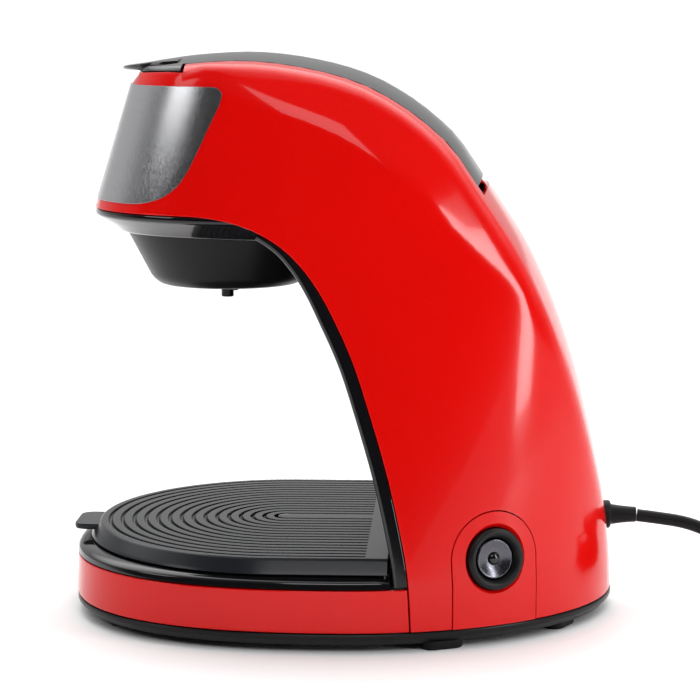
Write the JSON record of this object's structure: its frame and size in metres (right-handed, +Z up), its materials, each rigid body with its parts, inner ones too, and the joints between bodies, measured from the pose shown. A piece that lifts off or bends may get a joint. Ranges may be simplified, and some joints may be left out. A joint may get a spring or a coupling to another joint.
{
  "type": "drip coffee maker",
  "caption": "Small drip coffee maker with a C-shaped red body, hinged black lid, steel front plate, conical brew funnel with drip outlets and a round cup grate.",
  "frame": {"origin": "on the table, under the middle of the machine without its cord (the plan middle between the grate tab and the rear)", "axes": "+Z up, -Y towards the front where the cups stand, +X towards the side with the switch"},
  "size_m": [0.194, 0.4048, 0.2547],
  "materials": {
    "red": "high gloss",
    "black": "high gloss",
    "satin": "satin",
    "steel": "brushed",
    "chrome": "polished",
    "aluminium": "cast",
    "inside": "matte",
    "rubber": "matte",
    "hose": "matte",
    "tank": "matte",
    "mesh": "fine woven nylon"
  },
  "bodies": {
    "housing": {"base_plate": "satin", "base_skirt": "red", "main_housing": "red", "front_plate": "steel", "inner_panel": "black", "stand_tray": "black", "brew_funnel": "satin", "drip_outlet_left": "satin", "drip_outlet_right": "satin", "inner_deck": "inside", "water_tank": "tank", "check_valve": "inside", "heater_tube": "aluminium", "heater_element": "chrome", "heater_clamp_1": "steel", "heater_clamp_2": "steel", "inlet_hose": "hose", "riser_hose": "hose", "riser_nozzle": "inside", "thermostat": "chrome", "thermal_fuse": "hose", "terminal_block": "hose", "switch_insert": "red", "switch_bezel": "black", "switch_body": "inside", "switch_wires": "rubber", "strain_relief": "rubber", "power_cord": "rubber", "cord_coil": "rubber", "cord_tie": "rubber", "cord_tail": "rubber", "plug_body": "rubber", "plug_pin_1": "chrome", "plug_pin_2": "chrome", "foot_front_right": "rubber", "foot_front_left": "rubber", "foot_side_right": "rubber", "foot_side_left": "rubber", "foot_rear_right": "rubber", "foot_rear_left": "rubber", "base_screw_1": "steel", "base_screw_2": "steel", "base_screw_3": "steel", "base_screw_4": "steel"},
    "lid": {"lid_shell": "black", "lid_liner": "satin", "hinge_pin_left": "steel", "hinge_pin_right": "steel"},
    "button": {"switch_button": "chrome", "button_dome": "black"},
    "grate": {"drip_grate": "black"},
    "filter": {"filter_basket": "mesh", "filter_handle": "satin"}
  },
  "joints": [
    {"name": "lid_hinge", "type": "hinge", "parent": "housing", "child": "lid", "pos_m": [0, 0.0554, 0.1985], "axis": [-1, 0, 0], "range_deg": [0, 75]},
    {"name": "switch_press", "type": "slide", "parent": "housing", "child": "button", "axis": [-0.8722, -0.4809, -0.0897], "range_m": [0, 0.002], "stiffness_N_per_m": 400},
    {"name": "grate_lift", "type": "slide", "parent": "housing", "child": "grate", "axis": [0, -0.6, 0.8], "range_m": [0, 0.06]},
    {"name": "filter_lift", "type": "slide", "parent": "housing", "child": "filter", "axis": [0, 0, 1], "range_m": [0, 0.07]}
  ],
  "couplings": [
    {"joint": "filter_lift", "follows": "lid_hinge", "m_per_rad": 0.05}
  ]
}
